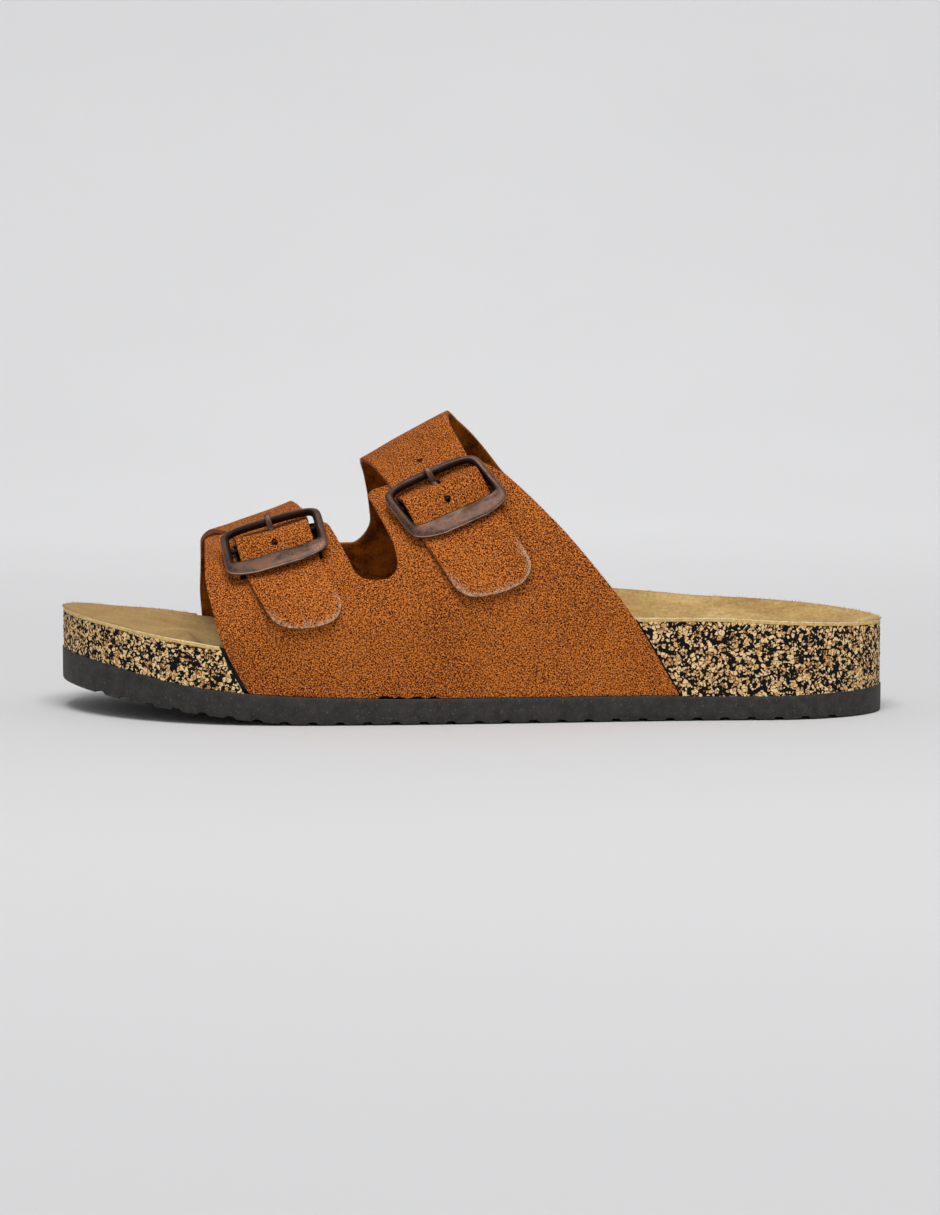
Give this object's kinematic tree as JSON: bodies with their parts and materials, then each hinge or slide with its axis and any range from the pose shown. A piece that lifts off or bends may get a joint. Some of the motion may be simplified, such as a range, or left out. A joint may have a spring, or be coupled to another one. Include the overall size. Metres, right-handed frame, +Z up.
{
  "type": "flat sandal",
  "caption": "Flat buckled slide sandal for a left foot: broad suede straps over the instep, moulded cork footbed sole and a rubber outsole with a wavy cross-cut tread.",
  "frame": {"origin": "middle of the bounding box, on the floor under the sole", "axes": "+X from toe to heel, +Y from the outer side of the foot to the inner side, +Z up"},
  "size_m": [0.278, 0.1012, 0.1005],
  "materials": {
    "outsole_rubber": "matte dark grey rubber",
    "midsole_cork": "pressed cork and dark rubber granules",
    "insole_suede": "tan suede",
    "upper_suede": "rust-brown fine suede",
    "buckle_metal": "antique copper, worn on its edges"
  },
  "bodies": {
    "root": {"outsole": "outsole_rubber", "midsole": "midsole_cork", "insole": "insole_suede", "upper": "upper_suede", "buckle_frame_front": "buckle_metal", "buckle_frame_rear": "buckle_metal", "buckle_prong_front": "buckle_metal", "buckle_prong_rear": "buckle_metal"}
  },
  "joints": []
}
